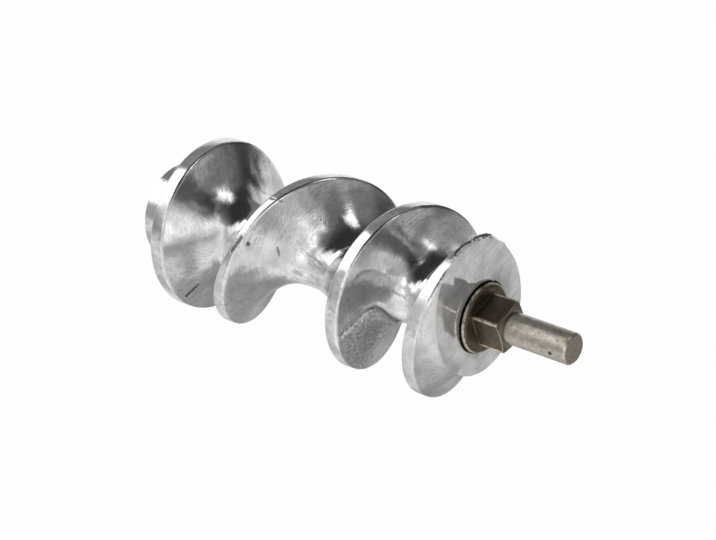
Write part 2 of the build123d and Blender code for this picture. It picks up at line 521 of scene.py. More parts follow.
# %% [markdown]
# ## What the polisher left
#
# Hand polishing leaves slow waves in the flanks, and on the third turn a lap of rough metal that
# the wheel did not reach ends in a crease, with a faint ridge beside it. Each point moves a little
# along its normal: a noise for the waves, and a step along a drawn line for the lap. The valley
# under the last turn is worn deeper, and the last turn runs softly into the front face. The rim
# stays where it is, so the size is kept. The mask of the lap and a mask along its crease, where
# the finish paints shade, are stored with the points, for the finish to read later.

# %% Waves and the lap on the third turn
WELD, SLIVER = 0.000002, 0.000001
# Size of the waves by how many there are in a millimetre
WAVE_SIZES = {0.065: 0.20, 0.15: 0.10, 0.30: 0.045, 0.55: 0.020}
RIM_STAYS, RIM_FADE, BORE_STAYS = 1.05, 2.5, 0.9
LAP_STEP, LAP_GROOVE, LAP_REACH, LAP_SLOPE = 0.40, 0.25, 15.0, 0.9
LAP_X_FROM, LAP_Y, LAP_FADE = 4.0, (-21.0, 14.0), 10.0
CREASE_OFFSET, CREASE_SPREAD, GROOVE_OFFSET = 0.3, 0.12, 0.5
LAP_EDGE = [(18.8, -17.2), (17.8, -16.7), (15.5, -15.6), (12.8, -14.6), (10.3, -14.4), (8.7, -13.6)]
LAP_EDGE += [(7.6, -12.4), (7.7, -10.9), (8.2, -9.1), (9.3, -5.7), (9.7, -1.6)]
LAP_HEIGHTS = (82.0, 97.0)
RIDGE_LINE = [(2.5, -25.0), (-1.4, -23.2), (-2.7, -20.3), (-2.4, -16.8)]
RIDGE_HEIGHT, RIDGE_WIDTH, RIDGE_X, RIDGE_Y = 0.14, 0.6, (-8.0, 8.0), (-25.0, -14.0)
FRONT_BLEND, BLEND_SLOPE, BLEND_FACING = 2.4, 0.15, 0.3
SCOOP_PLACE, SCOOP_DEPTH, SCOOP_REACH = Vector((-9.3, -8.3, 104.6)), 1.5, 4.8

mesh = bpy.data.meshes.new("polished_screw")
mesh.from_pydata(points, [], quads)
body = bmesh.new()
body.from_mesh(mesh)
bmesh.ops.remove_doubles(body, verts=body.verts, dist=WELD)
bmesh.ops.dissolve_degenerate(body, edges=body.edges, dist=SLIVER)
body.normal_update()
rough_cast = body.verts.layers.float.new("rough_cast")
crease = body.verts.layers.float.new("crease")


def beside(line, spot):
    """Signed distance from a drawn line, seen along the axis: positive on its right."""
    best = None
    for (ax, ay), (bx, by) in zip(line, line[1:]):
        run = Vector((bx - ax, by - ay))
        away = Vector((spot.x - ax, spot.y - ay))
        share = min(1.0, max(0.0, away.dot(run) / run.length_squared))
        gap = (away - run * share).length
        if best is None or gap < abs(best):
            best = gap if run.cross(away) < 0 else -gap
    return best


for vert in body.verts:
    spot = vert.co / MM
    radius = math.hypot(spot.x, spot.y)
    on_rim, in_bore = radius > RIM_RADIUS - EDGE_BREAK * RIM_STAYS, radius < CORE_RADIUS * BORE_STAYS
    if spot.z <= HUB_LENGTH or on_rim or in_bore:
        continue
    inner = smooth((RIM_RADIUS - EDGE_BREAK - radius) / RIM_FADE)
    shift = sum(size * noise.noise(spot * scale) for scale, size in WAVE_SIZES.items()) * inner
    on_third = LAP_HEIGHTS[0] < spot.z < LAP_HEIGHTS[1]
    if on_third and spot.x > LAP_X_FROM and LAP_Y[0] < spot.y < LAP_Y[1]:
        side = beside(LAP_EDGE, spot)
        steps_in = side / LAP_SLOPE
        raised = smooth(0.5 + steps_in)
        # Along the crease the finish later paints shade
        vert[crease] = math.exp(-((steps_in + CREASE_OFFSET) ** 2) / CREASE_SPREAD) * inner
        vert[rough_cast] = raised * smooth((LAP_Y[1] - spot.y) / LAP_FADE)
        groove = LAP_GROOVE * math.exp(-((steps_in + GROOVE_OFFSET) ** 2))
        shift += (LAP_STEP * raised * smooth(1.0 - side / LAP_REACH) - groove) * inner
    if on_third and RIDGE_X[0] < spot.x < RIDGE_X[1] and RIDGE_Y[0] < spot.y < RIDGE_Y[1]:
        shift += RIDGE_HEIGHT * math.exp(-((beside(RIDGE_LINE, spot) / RIDGE_WIDTH) ** 2)) * inner
    shift -= SCOOP_DEPTH * math.exp(-((spot - SCOOP_PLACE).length / SCOOP_REACH) ** 2)
    vert.co += vert.normal * shift * MM
    depth = (FRONT_FACE - spot.z) / FRONT_BLEND
    if vert.normal.z > BLEND_FACING and -1.0 < depth < 1.0:
        bent = BLEND_SLOPE * depth
        if depth > 0:
            bent += (1.0 - BLEND_SLOPE) * depth * depth * (2.0 - depth)
        vert.co.z = (FRONT_FACE - FRONT_BLEND * bent) * MM
print("lap covers", sum(vert[rough_cast] > 0.5 for vert in body.verts), "points")

# %% [markdown]
# The flight's tip is not a knife edge. Where the front face cuts it off, the rim hangs down a
# little, is rounded in towards the core, and its front corner is bevelled. Three small moves of the
# points near the tip do that: down, inwards to a drawn radius, and inwards again near the front.

# %% Round the tip of the flight
TIP_BELOW = 4.0
TIP_DROOP, DROOP_TURNS, DROOP_INSIDE, DROOP_FADE = 1.3, (316.0, 328.0, 346.0, 360.0), 20.5, 3.5
TIP_RADIUS = {
    312.0: 26.9, 318.0: 26.7, 327.0: 25.75, 335.5: 25.25,
    340.0: 24.75, 345.0: 24.0, 350.0: 23.1, 358.0: 21.8,
}
BEVEL_TURNS, BEVEL_DEPTH, BEVEL_WIDTH, MOST_CLIMB = (298.0, 312.0, 345.0, 356.0), 1.2, 1.0, 1.5


def swell(turn, corners):
    """0 to 1 and back to 0 between four turns."""
    rise = smooth((turn - corners[0]) / (corners[1] - corners[0]))
    return rise * smooth((corners[3] - turn) / (corners[3] - corners[2]))


def tip_radius(turn):
    """The tip's radius at a turn of the last round."""
    stations = list(TIP_RADIUS.items())
    for (first, from_radius), (last, to_radius) in zip(stations, stations[1:]):
        if first <= turn <= last:
            return from_radius + (to_radius - from_radius) * (turn - first) / (last - first)
    return RIM_RADIUS


def turn_of(spot):
    """Turn of a point within the last round."""
    return math.degrees(math.atan2(spot.y, -spot.x)) % 360.0


moved = 0
for vert in body.verts:
    spot = vert.co / MM
    radius, turn = math.hypot(spot.x, spot.y), turn_of(spot)
    at_tip = BEVEL_TURNS[0] < turn < DROOP_TURNS[3] and radius >= DROOP_INSIDE
    if spot.z < FRONT_FACE - TIP_BELOW or not at_tip:
        continue
    outer = smooth((radius - DROOP_INSIDE) / DROOP_FADE)
    height = spot.z - TIP_DROOP * swell(turn, DROOP_TURNS) * outer
    radius = min(radius, tip_radius(turn))
    climb = min(MOST_CLIMB, max(0.0, (height - FRONT_FACE + BEVEL_DEPTH) / BEVEL_DEPTH))
    radius -= BEVEL_WIDTH * climb * swell(turn, BEVEL_TURNS)
    vert.co = on_screw(turn, radius, height)
    moved += 1
print(moved, "points moved at the tip")

# %% [markdown]
# ## The ground front face
#
# The maker ground the front flat after casting, straight through the last turn. The same here: a
# plane cuts the strips off, the cut edge gets a few chips, and flat triangles close the ring
# between that edge and the stud's seat. Chips only move sideways, so the face stays flat. A second
# cut just below it gives the chips their depth.

# %% Grind the front and close it
CHIPS = {
    302.5: 0.5, 306.5: 0.9, 310.0: 0.5, 314.0: 1.0, 318.5: 0.7, 323.0: 0.9, 327.5: 0.5, 336.5: 0.7
}
CHIP_SPREAD, CHIP_INSIDE, CHIP_DEPTH, CHIP_SHOWS = 1.1, 23.0, 0.7, 0.25
SEAT_MARGIN = 0.01
FLAT_TOLERANCE = 0.000002
GROUND_SLOT, SHADE_SLOT = 1, 2
front_height = FRONT_FACE * MM


def cut_level(height, **options):
    """Cut the whole mesh along a level plane."""
    whole = body.verts[:] + body.edges[:] + body.faces[:]
    plane = {"plane_co": (0, 0, height), "plane_no": (0, 0, 1)}
    bmesh.ops.bisect_plane(body, geom=whole, dist=FLAT_TOLERANCE, **plane, **options)


def on_front(edge):
    """True for an open edge of the front face."""
    level = all(abs(vert.co.z - front_height) < FLAT_TOLERANCE for vert in edge.verts)
    return edge.is_boundary and level


cut_level(front_height, clear_outer=True)
cut_level(front_height - CHIP_DEPTH * MM)
open_edges = [edge for edge in body.edges if on_front(edge)]
chipped = set()
for vert in {vert for edge in open_edges for vert in edge.verts}:
    spot = vert.co / MM
    if math.hypot(spot.x, spot.y) < CHIP_INSIDE:
        continue
    turn = turn_of(spot)
    bite = sum(size * math.exp(-(((turn - chip) / CHIP_SPREAD) ** 2)) for chip, size in CHIPS.items())
    vert.co -= Vector((spot.x, spot.y, 0)).normalized() * bite * MM
    if bite > CHIP_SHOWS:
        chipped.update(vert.link_faces)
face_triangles = bmesh.ops.triangle_fill(body, edges=open_edges, use_beauty=True)["geom"]
for face in body.faces:
    face.smooth = True
for face in list(chipped) + face_triangles:
    if isinstance(face, bmesh.types.BMFace):
        face.smooth = False
        face.material_index = GROUND_SLOT
# The seat and the bore take the near-black finish: painted shade in the flange's gap
for face in body.faces:
    reach = max(math.hypot(vert.co.x, vert.co.y) for vert in face.verts) / MM
    height = face.calc_center_median().z / MM
    in_seat = height > SEAT_FACE - SEAT_MARGIN and reach < SEAT_MOUTH + SEAT_MARGIN
    in_bore = height > BORE_END - SEAT_MARGIN and reach < BORE_RADIUS + SEAT_MARGIN
    if in_seat or in_bore:
        face.material_index = SHADE_SLOT
bmesh.ops.recalc_face_normals(body, faces=body.faces)
open_left = sum(edge.is_boundary for edge in body.edges)
print("open edges left:", open_left, "triangles:", sum(len(face.verts) - 2 for face in body.faces))
body.to_mesh(mesh)
body.free()

# %% [markdown]
# The new piece stands for the imported solid: it rides on the same body and hides that node.
# Edges that turn by more than 40 degrees are shaded sharp.

# %% Put the screw in its place
SHARP_ANGLE = math.radians(40)
mesh.set_sharp_from_angle(angle=SHARP_ANGLE)
polished_screw = bpy.data.objects.new("polished_screw", mesh)
bpy.context.scene.collection.objects.link(polished_screw)
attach(polished_screw, "root")
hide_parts("feed_screw")
print("screw mesh:", len(mesh.vertices), "points,", len(mesh.polygons), "faces")

# %% [markdown]
# ## Tool marks
#
# The casting was polished by hand on a wheel, its front was ground and the stud was turned. All
# three show it: fine streaks, slow waves that bend the reflections, and blotches where the finish
# is duller. The metals share the effect, so it is one node group with its own inputs. It works in
# cylinder coordinates, because the wheel ran from the core to the rim and the lathe round the axis.

# %% Tool marks group
STREAK_DETAIL, WAVE_DETAIL, BLOTCH_DETAIL = 4.0, 1.0, 6.0


def new_group(name, inputs, outputs):
    """A node group: inputs as name: number, or None for a vector, and outputs that are numbers."""
    group = bpy.data.node_groups.new(name, "ShaderNodeTree")
    for socket, value in inputs.items():
        kind = "NodeSocketVector" if value is None else "NodeSocketFloat"
        made = group.interface.new_socket(socket, in_out="INPUT", socket_type=kind)
        if value is not None:
            made.default_value = value
    for socket in outputs:
        group.interface.new_socket(socket, in_out="OUTPUT", socket_type="NodeSocketFloat")
    return group, group.nodes.new("NodeGroupInput").outputs, group.nodes.new("NodeGroupOutput").inputs


def noise_pattern(tree, spot, scale, detail, **sockets):
    """A noise pattern, with its scale in repeats per metre."""
    sockets.update({"Vector": spot, "Scale": scale, "Detail": detail})
    return place(tree, "TexNoise", sockets).outputs


def from_axis(tree, spot_xyz):
    """Distance of a point from the screw's axis."""
    flat = place(tree, "CombineXYZ", {"X": spot_xyz["X"], "Y": spot_xyz["Y"]}).outputs[0]
    return vector_step(tree, "LENGTH", {0: flat})["Value"]


tool_marks, given, result = new_group(
    "Tool marks",
    {
        "Vector": None,
        "Streaks per radian": 60.0,
        "Streaks along": 60.0,
        "Slant": 0.0,
        "Waves per metre": 60.0,
        "Blotches per metre": 120.0,
    },
    ["Streaks", "Waves", "Blotches"],
)
given_xyz = place(tool_marks, "SeparateXYZ", {0: given["Vector"]}).outputs
round_axis = calc(tool_marks, "ARCTAN2", given_xyz["Y"], given_xyz["X"])
out = from_axis(tool_marks, given_xyz)
across = times(tool_marks, round_axis, given["Streaks per radian"])
streak_xyz = {
    "X": calc(tool_marks, "ADD", across, times(tool_marks, out, given["Slant"])),
    "Y": times(tool_marks, out, given["Streaks along"]),
    "Z": times(tool_marks, given_xyz["Z"], given["Streaks along"]),
}
streak_place = place(tool_marks, "CombineXYZ", streak_xyz).outputs[0]
patterns = {
    "Streaks": noise_pattern(tool_marks, streak_place, 1.0, STREAK_DETAIL),
    "Waves": noise_pattern(tool_marks, given["Vector"], given["Waves per metre"], WAVE_DETAIL),
    "Blotches": noise_pattern(tool_marks, given["Vector"], given["Blotches per metre"], BLOTCH_DETAIL),
}
for socket, pattern in patterns.items():
    tool_marks.links.new(pattern[0], result[socket])


def marks_on(tree, spot, values):
    """The tool marks of one finish."""
    return place(tree, "Group", {"Vector": spot, **values}, node_tree=tool_marks).outputs


print("group:", tool_marks.name)

# %% [markdown]
# ## Scars and painted shade
#
# Years of use left short dark scars: nicks, a slash on the disc, a smudge on a rim, a pit in the
# pin. Lines of painted shade are drawn the same way. Each one is a short line from one place to
# another. The group measures how far a point of the surface is from that line and gives a mask, so a
# scar needs only its two ends and its width.

# %% Scar group
SCAR_EDGE = (1.0, 0.3)
WOBBLES_PER_METRE, WOBBLE_DETAIL, WOBBLE_SIZE = 900.0, 3.0, 0.0008
MIDDLE_GREY = (0.5, 0.5, 0.5)

scar_line, given, result = new_group(
    "Scar",
    {"Vector": None, "Start": None, "End": None, "Width": 0.001, "Strength": 1.0},
    ["Mask"],
)
away = vector_step(scar_line, "SUBTRACT", {0: given["Vector"], 1: given["Start"]})["Vector"]
run = vector_step(scar_line, "SUBTRACT", {0: given["End"], 1: given["Start"]})["Vector"]
along = vector_step(scar_line, "DOT_PRODUCT", {0: away, 1: run})["Value"]
whole_run = vector_step(scar_line, "DOT_PRODUCT", {0: run, 1: run})["Value"]
share = calc(scar_line, "MINIMUM", calc(scar_line, "DIVIDE", along, whole_run), 1.0)
share = calc(scar_line, "MAXIMUM", share, 0.0)
nearest = vector_step(scar_line, "SCALE", {0: run, "Scale": share})["Vector"]
gap = vector_step(scar_line, "DISTANCE", {0: away, 1: nearest})["Value"]
edge = calc(scar_line, "DIVIDE", gap, given["Width"])
mask = times(scar_line, fade(scar_line, edge, *SCAR_EDGE), given["Strength"])
scar_line.links.new(mask, result["Mask"])


def scar_mask(tree, spot, scars_and_shade):
    """Mask of several short lines, such as scars, brushed patches and lines of painted shade: name:
    (start, end, width in millimetres, strength).
    """
    wobble = noise_pattern(tree, spot, WOBBLES_PER_METRE, WOBBLE_DETAIL)["Color"]
    centred = vector_step(tree, "SUBTRACT", {0: wobble, 1: MIDDLE_GREY})["Vector"]
    small = vector_step(tree, "SCALE", {0: centred, "Scale": WOBBLE_SIZE})["Vector"]
    rough_spot = vector_step(tree, "ADD", {0: spot, 1: small})["Vector"]
    masks = []
    for name, (start, end, width, strength) in scars_and_shade.items():
        sockets = {"Vector": rough_spot, "Start": Vector(start) * MM, "End": Vector(end) * MM}
        sockets.update({"Width": width * MM, "Strength": strength})
        masks.append(place(tree, "Group", sockets, node_tree=scar_line, label=name).outputs[0])
    return largest(tree, *masks)


print("group:", scar_line.name)

# %% [markdown]
# ## Polished aluminium
#
# The metal is a Principled shader: fully metallic where it is polished, and less where it is brushed
# or ground, which scatters the light. Its colour is nearly white, and its roughness drifts between
# a good polish and a dull haze. It could be one even mirror, but hand polish never is, so the finish
# is built from masks. First come the places of the single scars, of the lines and patches of
# painted shade, and of the patches that were brushed and not polished, each as a short line.

# %% Scars, painted shade and brushed patches of the casting
CASTING_SCARS_AND_SHADE = {
    "disc slash": ((24.5, -5.2, 19.3), (19.8, -3.1, 20.6), 0.8, 1.0),
    "flank pit": ((2.5, -24.0, 50.5), (2.7, -23.8, 50.5), 0.9, 0.9),
    "flank stain": ((6.1, -7.6, 58.2), (6.3, -6.8, 59.0), 1.6, 0.45),
    "flank nick": ((0.7, -16.3, 55.3), (2.8, -14.3, 55.4), 0.5, 0.6),
    "lap mark": ((15.6, 2.0, 88.8), (12.9, 6.0, 88.0), 0.8, 0.9),
    "rim smudge": ((6.4, -26.1, 47.1), (1.5, -26.9, 49.5), 0.9, 0.9),
    "rim scratch": ((-12.3, -23.9, 53.0), (-12.5, -22.6, 55.8), 0.5, 0.7),
    # The next two are painted dark reflections along the second and third valleys
    "second valley reflection": ((-0.5, -10.3, 62.0), (1.5, -8.4, 66.6), 0.8, 0.4),
    "third valley reflection": ((1.5, -11.9, 97.5), (2.2, -9.9, 99.8), 0.8, 0.4),
    "flank lap line": ((17.5, 7.6, 39.1), (14.7, 3.8, 43.3), 0.7, 0.5),
    "disc smudge": ((11.5, -14.0, 21.6), (16.0, -9.5, 21.6), 3.6, 0.28),
    # The next two are painted shade: darker patches on the third flank and beside the lap
    "third flank shade": ((5.0, -20.0, 91.6), (13.5, -16.5, 90.0), 4.6, 0.34),
    "lap shade": ((14.5, -8.5, 91.0), (19.0, -3.0, 88.9), 5.0, 0.30),
    "second flank patch": ((-3.5, -21.5, 54.5), (-4.0, -17.0, 57.2), 4.0, 0.20),
    # The rest are painted shade: the tip's dark edge and top, and the dark line of the third rim
    "tip edge shade": ((-16.6, -20.6, 120.5), (-19.8, -16.2, 120.6), 0.9, 0.9),
    "tip top shade": ((-19.8, -16.2, 120.6), (-23.2, -9.0, 120.4), 1.0, 1.0),
    "third rim shade, left": ((-24.2, -11.3, 95.9), (-26.3, -4.6, 97.2), 0.55, 0.8),
    "third rim shade, top": ((-26.3, -4.6, 97.2), (-26.6, 2.3, 98.6), 0.6, 0.9),
    "third rim shade, right": ((-26.6, 2.3, 98.6), (-25.1, 9.1, 99.9), 0.6, 0.9),
}
BRUSHED_PATCHES = {
    "third turn's top": ((-18.5, -3.0, 101.3), (-24.0, 7.0, 100.3), 8.0, 0.9),
    "disc": ((1.5, -25.0, 19.6), (3.5, -16.5, 22.6), 5.5, 0.75),
    "second rim": ((16.0, -21.6, 43.0), (25.6, -8.3, 38.6), 3.2, 0.9),
    "last turn": ((6.0, -23.0, 119.5), (20.0, -10.0, 115.5), 11.0, 0.85),
}
print(len(CASTING_SCARS_AND_SHADE), "scars,", len(BRUSHED_PATCHES), "brushed patches")

# %% [markdown]
# Then come the masks that cover the whole casting: strokes of the wheel in two directions with a
# fine grain in them, haze, the rough lap and the painted shade along its crease from the mesh, the
# rear flanks that a wheel hardly reaches, with painted shade darkening them towards -X, the haze
# where the last turn runs into the front face, and bare specks on its edge. A mask is a number from
# 0 to 1 at each point, and most are a noise or a measure that is cut off between two levels.

# %% Masks of the casting
HATCH_MARKS = {"Streaks per radian": 52.0, "Streaks along": 420.0, "Slant": 2100.0}
RING_MARKS = {"Streaks per radian": 14.0, "Streaks along": 380.0, "Slant": 2300.0}
RING_MARKS["Blotches per metre"] = 330.0
PITS_PER_METRE, PIT_DETAIL = 1000.0, 5.0
GRAIN_SHARE, MOTTLE_SHARE, CREASE_SHADE_SHARE, REAR_SHADE_SHARE = 0.42, 0.30, 0.95, 0.8
HAND_LEVELS, HAZE_LEVELS, STROKE_LEVELS = (0.45, 0.55), (0.42, 0.68), (0.46, 0.62)
MOTTLE_LEVELS, LAP_LEVELS, SPECK_LEVELS = (0.50, 0.66), (0.35, 0.65), (0.55, 0.61)
REAR_LEVELS, REAR_FACING, FRONT_FACING = (0.60, 0.44), (-0.10, -0.45), (0.80, 0.97)
# Heights, sides and distances from the axis, in millimetres
# The second pair darkens the rear flanks towards -X: painted shade
REAR_DULL_FROM, REAR_SHADE_SIDE = (56.0, 82.0), (6.0, -1.0)
FRONT_HAZE, SPECK_HEIGHTS, SPECKS_FROM = (118.6, 121.0), (120.3, 120.9), (23.5, 24.5)


def metres(values):
    """Millimetres as metres."""
    return [value * MM for value in values]


aluminium, tree = new_material("polished_aluminium")
spot = place(tree, "TexCoord").outputs["Object"]
spot_xyz = place(tree, "SeparateXYZ", {0: spot}).outputs
normal = place(tree, "NewGeometry").outputs["Normal"]
facing = place(tree, "SeparateXYZ", {0: normal}).outputs["Z"]
marks, rings = marks_on(tree, spot, HATCH_MARKS), marks_on(tree, spot, RING_MARKS)
pits = noise_pattern(tree, spot, PITS_PER_METRE, PIT_DETAIL)[0]

by_hand = fade(tree, marks["Waves"], *HAND_LEVELS)
strokes = between(tree, by_hand, marks["Streaks"], rings["Streaks"])
grainy = between(tree, GRAIN_SHARE, strokes, pits)
haze = largest(tree, fade(tree, marks["Blotches"], *HAZE_LEVELS), fade(tree, grainy, *STROKE_LEVELS))
mottled = times(tree, fade(tree, rings["Blotches"], *MOTTLE_LEVELS), MOTTLE_SHARE)

lap = place(tree, "Attribute", attribute_name="rough_cast").outputs["Fac"]
lap_pits = times(tree, lap, fade(tree, pits, *LAP_LEVELS))
# Painted shade along the lap's crease
crease_shade = place(tree, "Attribute", attribute_name="crease").outputs["Fac"]
scars_and_shade = largest(tree, scar_mask(tree, spot, CASTING_SCARS_AND_SHADE), times(tree, crease_shade, CREASE_SHADE_SHARE))
brushed = scar_mask(tree, spot, BRUSHED_PATCHES)

rear_flank = fade(tree, facing, *REAR_FACING)
front_part = fade(tree, spot_xyz["Z"], *metres(REAR_DULL_FROM))
rear_skin = times(tree, front_part, fade(tree, rings["Waves"], *REAR_LEVELS))
# Painted shade: rear flanks darker towards -X
shaded_side = fade(tree, spot_xyz["X"], *metres(REAR_SHADE_SIDE), high=REAR_SHADE_SHARE)

near_front = fade(tree, spot_xyz["Z"], *metres(FRONT_HAZE))
near_face = times(tree, near_front, fade(tree, facing, *FRONT_FACING))
near_edge = fade(tree, spot_xyz["Z"], *metres(SPECK_HEIGHTS))
near_rim = fade(tree, from_axis(tree, spot_xyz), *metres(SPECKS_FROM))
specks = times(tree, near_edge, near_rim, fade(tree, pits, *SPECK_LEVELS))
print("masks of", aluminium.name)

# %% [markdown]
# The masks now steer the shader. Each colour and each roughness is laid over the one before, as a
# maker would: polish, haze, mottling, rough lap, rear flanks with their painted shade, scars with
# the lines of painted shade, front. The bumps are stacked in the same way, from the slow waves to
# the scars. None is over 0.15 mm: larger shapes are in the mesh.

# %% Polished aluminium
ALUMINIUM, DULL_ALUMINIUM = (0.91, 0.91, 0.905, 1), (0.66, 0.66, 0.655, 1)
MOTTLE, CAST_SKIN = (0.50, 0.50, 0.495, 1), (0.46, 0.46, 0.455, 1)
# The darker rear colour is both unpolished skin and painted shade
REAR_POLISH, REAR_SKIN_AND_SHADE = (0.86, 0.86, 0.855, 1), (0.34, 0.34, 0.335, 1)
# The scars' dark colour also paints the lines of painted shade that are listed with them
SCAR_AND_SHADE_DARK, BARE_SPECK = (0.16, 0.16, 0.155, 1), (0.95, 0.95, 0.945, 1)
GROUND, GROUND_METALLIC = (0.88, 0.88, 0.875, 1), 0.62
POLISH_ROUGH, HAZE_ROUGH, LAP_ROUGH, REAR_ROUGH = 0.09, 0.20, 0.32, 0.24
BRUSHED_ROUGH, SPECK_ROUGH, SCAR_ROUGH = 0.34, 0.55, 0.5
WAVE_HEIGHT, STREAK_HEIGHT, PIT_HEIGHT, SCAR_HEIGHT = 0.00012, 0.000042, 0.00003, 0.00015


def bump(tree, height, distance, below=None, **options):
    """Raise the surface by a pattern, on top of the bump below it."""
    sockets = {"Height": height, "Distance": distance}
    if below is not None:
        sockets["Normal"] = below
    return place(tree, "Bump", sockets, **options).outputs[0]


def principled(tree, sockets):
    """End a material's tree with its shader."""
    shader = place(tree, "BsdfPrincipled", sockets)
    place(tree, "OutputMaterial", {"Surface": shader.outputs[0]})


rear = tint(tree, largest(tree, rear_skin, shaded_side), REAR_POLISH, REAR_SKIN_AND_SHADE)
layers = [(haze, DULL_ALUMINIUM), (mottled, MOTTLE), (lap_pits, CAST_SKIN), (rear_flank, rear)]
layers += [(scars_and_shade, SCAR_AND_SHADE_DARK), (near_face, GROUND), (specks, BARE_SPECK)]
colour = laid_over(tree, tint, ALUMINIUM, layers)

layers = [(haze, HAZE_ROUGH), (lap, LAP_ROUGH), (rear_flank, REAR_ROUGH), (brushed, BRUSHED_ROUGH)]
layers += [(specks, SPECK_ROUGH), (scars_and_shade, SCAR_ROUGH)]
rough = laid_over(tree, between, POLISH_ROUGH, layers)

surface = bump(tree, marks["Waves"], WAVE_HEIGHT)
surface = bump(tree, grainy, STREAK_HEIGHT, surface)
surface = bump(tree, times(tree, pits, lap), PIT_HEIGHT, surface)
surface = bump(tree, scars_and_shade, SCAR_HEIGHT, surface, invert=True)

veil = largest(tree, near_face, specks, brushed)
metallic = between(tree, veil, 1.0, GROUND_METALLIC)
principled(tree, {"Base Color": colour, "Roughness": rough, "Normal": surface, "Metallic": metallic})
print("material:", aluminium.name)

# %% [markdown]
# ## Ground aluminium
#
# The flat front was ground on a belt. It is lighter and more even than the flanks, still mirrors
# the stud that stands on it, and straight scratches cross it in one direction. A stretched noise
# gives them: many repeats across the belt's way, few along it.

# %% Ground aluminium
GROUND_BLOTCHES = 220.0
BELT_ANGLE = math.radians(53)
SCRATCHES_ACROSS, SCRATCHES_ALONG, SCRATCH_DETAIL = 2400.0, 110.0, 3.0
BELT_SCRATCH_HEIGHT = 0.000008
DULL_LEVELS, SCRATCH_LEVELS = (0.40, 0.70), (0.47, 0.63)
GROUND_ROUGH = (0.06, 0.13)

ground, tree = new_material("ground_aluminium")
spot = place(tree, "TexCoord").outputs["Object"]
marks = marks_on(tree, spot, {"Blotches per metre": GROUND_BLOTCHES})
stretch = (1 / SCRATCHES_ACROSS, 1 / SCRATCHES_ALONG, 1)
belt_sockets = {"Vector": spot, "Rotation": (0, 0, BELT_ANGLE), "Scale": stretch}
belt = place(tree, "Mapping", belt_sockets, vector_type="TEXTURE").outputs[0]
scratches = noise_pattern(tree, belt, 1.0, SCRATCH_DETAIL)[0]
dull = fade(tree, marks["Blotches"], *DULL_LEVELS)
layers = [(dull, DULL_ALUMINIUM), (fade(tree, scratches, *SCRATCH_LEVELS), DULL_ALUMINIUM)]
sockets = {
    "Base Color": laid_over(tree, tint, GROUND, layers),
    "Roughness": between(tree, dull, *GROUND_ROUGH),
    "Normal": bump(tree, scratches, BELT_SCRATCH_HEIGHT),
    "Metallic": GROUND_METALLIC,
}
principled(tree, sockets)
print("material:", ground.name)

# %% [markdown]
# ## Stained steel
#
# The stud is plain steel with a brown stain of old oil. It is duller than the casting, and its
# marks run round the axis as the lathe left them. The stain is thick on the square and round the
# flange, where nobody wipes, and thin on the pin, which runs in the plate. Wear shines through at
# the square's front edge and the pin's end. The square's corners and the flange's bevel show wear
# and a painted highlight, and the square's root line a painted highlight. The flange's side is
# painted near black as shade. The stud is a turned shape, so a height and a distance from the
# axis are enough to find each of them.

# %% Where the steel is worn or clean, and where highlight and shade are painted
# Heights and distances from the axis, in metres
PIN_CLEAR, END_DULL, END_RING = (0.1312, 0.1330), (0.15320, 0.15348), (0.15285, 0.15296)
CORNER_WEAR_AND_HIGHLIGHT, SQUARE_ROOT = (0.00725, 0.00755), (0.12285, 0.12310)
BEVEL_WEAR_AND_HIGHLIGHT, BEVEL_FOOT, SIDE_SHADED = (0.01000, 0.01020), (0.12178, 0.12186), (0.01040, 0.01055)
ROOT_HIGHLIGHT, ROOT_HIGHLIGHT_OUTSIDE = (0.12280, 0.12284, 0.12296, 0.12310), (0.0084, 0.0081)
CONE_HEIGHT, CONE_RADIUS, CONE_SLOPE = 0.1321, 0.0053, 0.267
FRONT_EDGE, FLATS_FROM, FRONT_EDGE_SHARE = (-0.00042, -0.00026, -0.00008, 0.0), (0.0052, 0.0055), 0.6
WEAR_AND_HIGHLIGHT_LEVELS = (0.70, 0.45)
TURNING = {"Streaks per radian": 2.0, "Streaks along": 2500.0, "Blotches per metre": 420.0}


def band(tree, value, start, full, fading, end):
    """0 to 1 and back to 0 along a value."""
    return times(tree, fade(tree, value, start, full), fade(tree, value, end, fading))


steel, tree = new_material("stained_steel")
spot = place(tree, "TexCoord").outputs["Object"]
spot_xyz = place(tree, "SeparateXYZ", {0: spot}).outputs
height, out = spot_xyz["Z"], from_axis(tree, spot_xyz)
marks = marks_on(tree, spot, TURNING)

on_pin = fade(tree, height, *PIN_CLEAR)
end = fade(tree, height, *END_DULL)
end_ring = calc(tree, "SUBTRACT", fade(tree, height, *END_RING), end)
# Painted highlight on the corners and the bevel, with wear, and on the root line
corner = times(tree, fade(tree, out, *CORNER_WEAR_AND_HIGHLIGHT), fade(tree, height, *SQUARE_ROOT))
bevel = times(tree, fade(tree, out, *BEVEL_WEAR_AND_HIGHLIGHT), fade(tree, height, *BEVEL_FOOT))
# Painted shade: the flange's side near black
side_shade = times(tree, fade(tree, out, *SIDE_SHADED), fade(tree, height, *reversed(BEVEL_FOOT)))
root = times(tree, band(tree, height, *ROOT_HIGHLIGHT), fade(tree, out, *ROOT_HIGHLIGHT_OUTSIDE))
cone_drop = times(tree, calc(tree, "SUBTRACT", out, CONE_RADIUS), CONE_SLOPE)
past_cone = calc(tree, "ADD", calc(tree, "SUBTRACT", height, CONE_HEIGHT), cone_drop)
on_flats = fade(tree, out, *FLATS_FROM, high=FRONT_EDGE_SHARE)
front_edge = times(tree, band(tree, past_cone, *FRONT_EDGE), on_flats)
wear_and_highlight_patches = fade(tree, marks["Blotches"], *WEAR_AND_HIGHLIGHT_LEVELS)
bare_and_highlit = times(tree, largest(tree, corner, front_edge, bevel, end_ring, root), wear_and_highlight_patches)
print("masks of", steel.name)

# %% [markdown]
# The colours are laid over each other as on the casting: stain, bare pin, the dull end face, worn
# edges with their painted highlights, rust freckles, the one pit in the pin, and painted shade on
# the flange's side.

